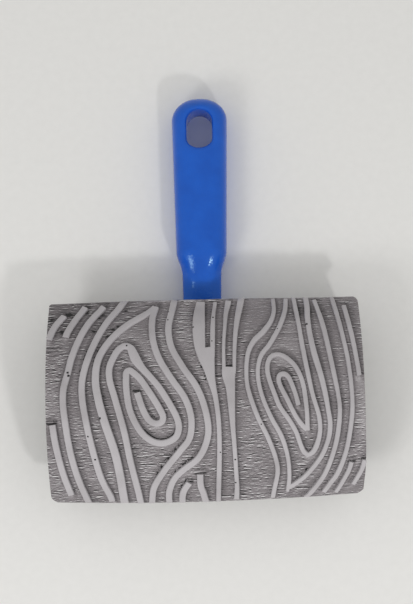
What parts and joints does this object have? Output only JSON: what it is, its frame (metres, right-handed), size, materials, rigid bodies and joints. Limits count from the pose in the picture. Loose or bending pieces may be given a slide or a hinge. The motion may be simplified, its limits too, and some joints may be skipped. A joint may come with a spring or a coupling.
{
  "type": "wood graining tool",
  "caption": "Rocker for drawing wood grain in wet glaze: a ridged rubber pad clamped over a curved shell, on a straight handle with a hanging slot.",
  "frame": {"origin": "on the flat underside of the handle's tongue, under the middle of the rocker, in the plane that the tool rests on when it lies on its back", "axes": "+Z out of the crest of the rubber face, +Y towards the handle's end, +X across the face to the right as seen from above with the handle pointing away"},
  "size_m": [0.15, 0.2, 0.0446],
  "materials": {
    "pad_rubber": "grey moulded rubber, smooth ridges over a rough scored floor",
    "shell_plastic": "black moulded plastic, fine matt texture",
    "handle_plastic": "blue moulded plastic, glossy with slight orange peel",
    "fixing_steel": "zinc-plated steel, satin"
  },
  "bodies": {
    "root": {"graining_pad": "pad_rubber", "rocker_shell": "shell_plastic", "handle": "handle_plastic", "upper_clamp_bar": "fixing_steel", "lower_clamp_bar": "fixing_steel", "upper_clamp_screw_1": "fixing_steel", "upper_clamp_screw_2": "fixing_steel", "upper_clamp_screw_3": "fixing_steel", "upper_clamp_screw_4": "fixing_steel", "lower_clamp_screw_1": "fixing_steel", "lower_clamp_screw_2": "fixing_steel", "lower_clamp_screw_3": "fixing_steel", "lower_clamp_screw_4": "fixing_steel", "upper_handle_screw": "fixing_steel", "lower_handle_screw": "fixing_steel"}
  },
  "joints": []
}
